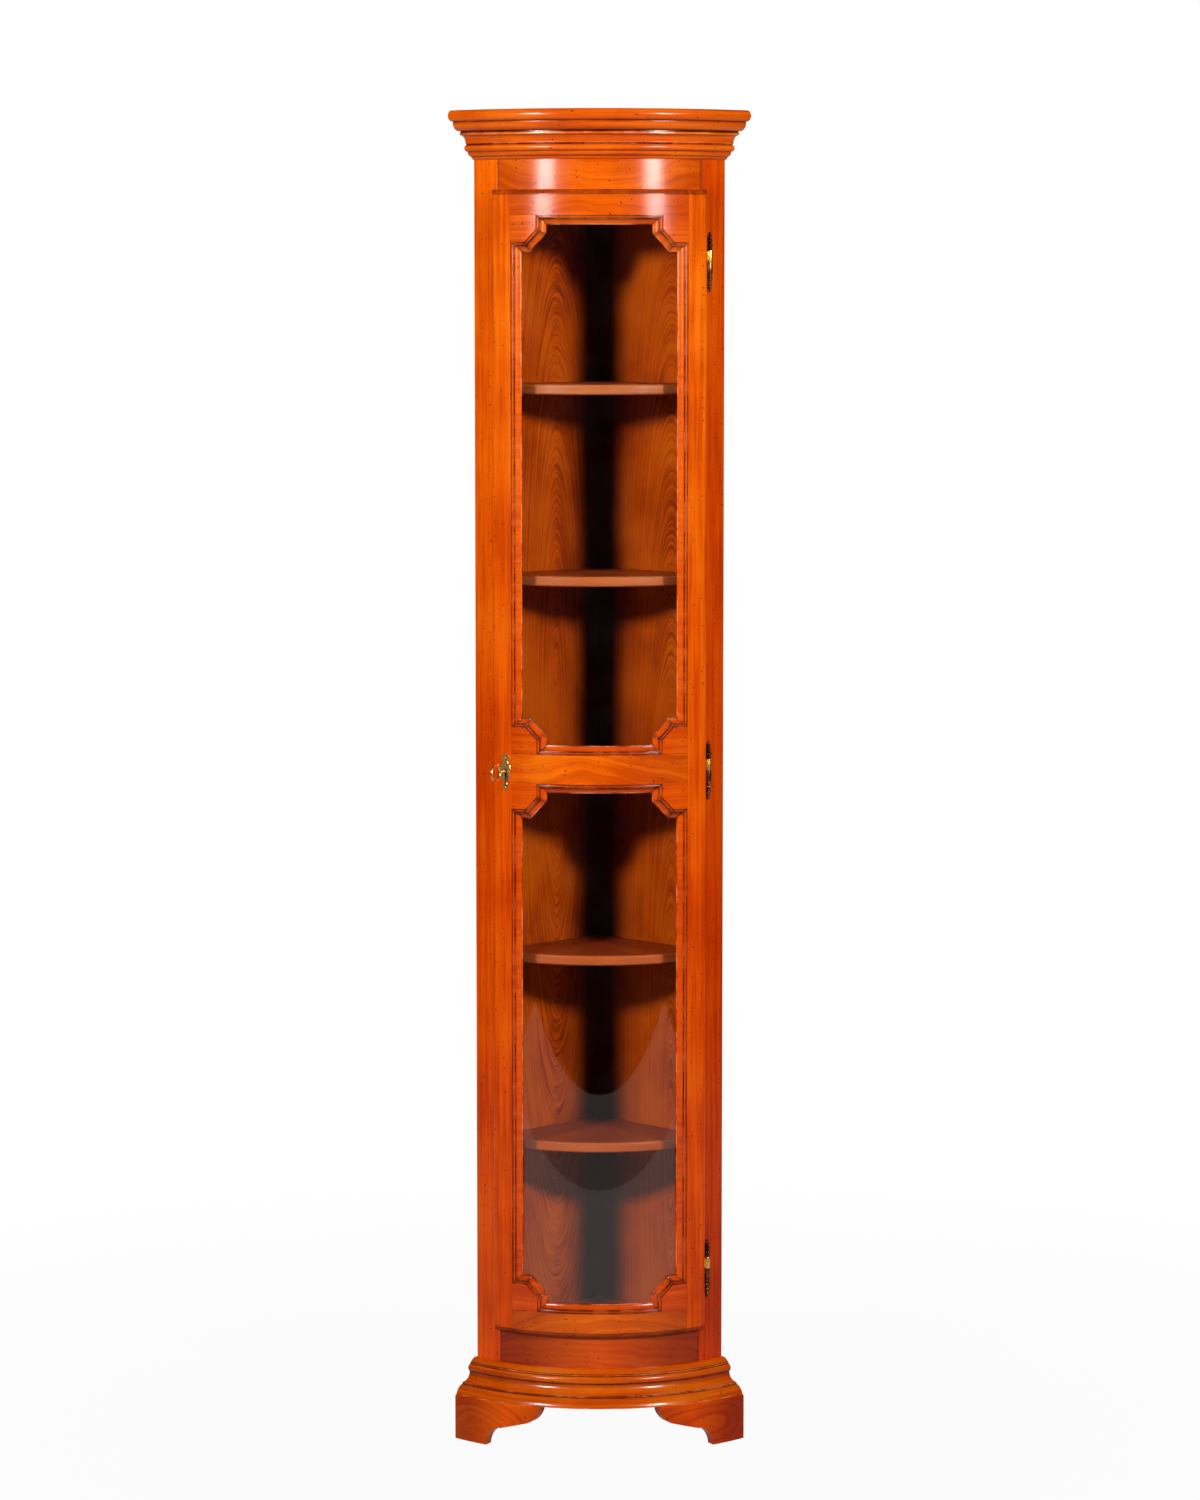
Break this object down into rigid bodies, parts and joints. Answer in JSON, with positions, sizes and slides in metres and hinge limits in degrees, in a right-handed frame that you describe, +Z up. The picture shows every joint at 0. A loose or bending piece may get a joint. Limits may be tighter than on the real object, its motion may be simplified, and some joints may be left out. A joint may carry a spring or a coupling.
{
  "type": "corner curio cabinet",
  "caption": "Tall bow-fronted corner display cabinet with a hinged glazed door, fixed shelves, moulded cornice and bracket feet.",
  "frame": {"origin": "middle of the bounding box on the floor", "axes": "+Z up, the door faces -Y, +X to the right seen from the front; the room corner is at the middle of the +Y side"},
  "size_m": [0.4358, 0.3115, 1.95],
  "materials": {
    "cherry": "glossy lacquered cherry, red-brown with dark glaze in the quirks",
    "cherry_inside": "satin lacquered cherry veneer",
    "glass": "clear bent glass",
    "bright_brass": "mottled polished brass",
    "dark_brass": "antique dark brass",
    "steel": "plain bright steel"
  },
  "bodies": {
    "carcase": {"frame_stile_left": "cherry", "frame_stile_right": "cherry", "frieze_rail": "cherry", "base_rail": "cherry", "cornice_moulding": "cherry", "cornice_top_board": "cherry", "plinth_moulding": "cherry", "foot_front_left": "cherry", "foot_front_right": "cherry", "back_panel_left": "cherry_inside", "back_panel_right": "cherry_inside", "top_board": "cherry_inside", "bottom_board": "cherry_inside", "shelf_1": "cherry_inside", "shelf_2": "cherry_inside", "shelf_3": "cherry_inside", "shelf_4": "cherry_inside", "shelf_5": "cherry_inside", "foot_blocks": "cherry_inside", "foot_rear": "cherry_inside", "strike_plate": "bright_brass", "hinge_frame_halves": "dark_brass", "hinge_pins": "steel"},
    "door": {"door_stile_lock_side": "cherry", "door_stile_hinge_side": "cherry", "door_top_rail": "cherry", "door_middle_rail": "cherry", "door_bottom_rail": "cherry", "upper_corner_blocks": "cherry", "lower_corner_blocks": "cherry", "upper_glass_moulding": "cherry", "lower_glass_moulding": "cherry", "upper_glass": "glass", "lower_glass": "glass", "upper_glass_stops": "cherry_inside", "lower_glass_stops": "cherry_inside", "hinge_door_halves": "bright_brass", "lock_case": "steel", "lock_cap": "steel", "escutcheon": "bright_brass"},
    "lock_bolt": {"lock_bolt": "steel"},
    "key": {"key": "dark_brass"}
  },
  "joints": [
    {"name": "door_hinge", "type": "hinge", "parent": "carcase", "child": "door", "pos_m": [0.15917, -0.05511, 0.9955], "axis": [0, 0, 1], "range_deg": [0, 115]},
    {"name": "key_turn", "type": "hinge", "parent": "door", "child": "key", "pos_m": [-0.1366, -0.07648, 0.996], "axis": [-0.5254, -0.8509, 0], "range_deg": [0, 180]},
    {"name": "bolt_slide", "type": "slide", "parent": "door", "child": "lock_bolt", "axis": [-0.8509, 0.5254, 0], "range_m": [0, 0.006]}
  ],
  "couplings": [
    {"joint": "bolt_slide", "follows": "key_turn", "m_per_rad": 0.0019098}
  ]
}
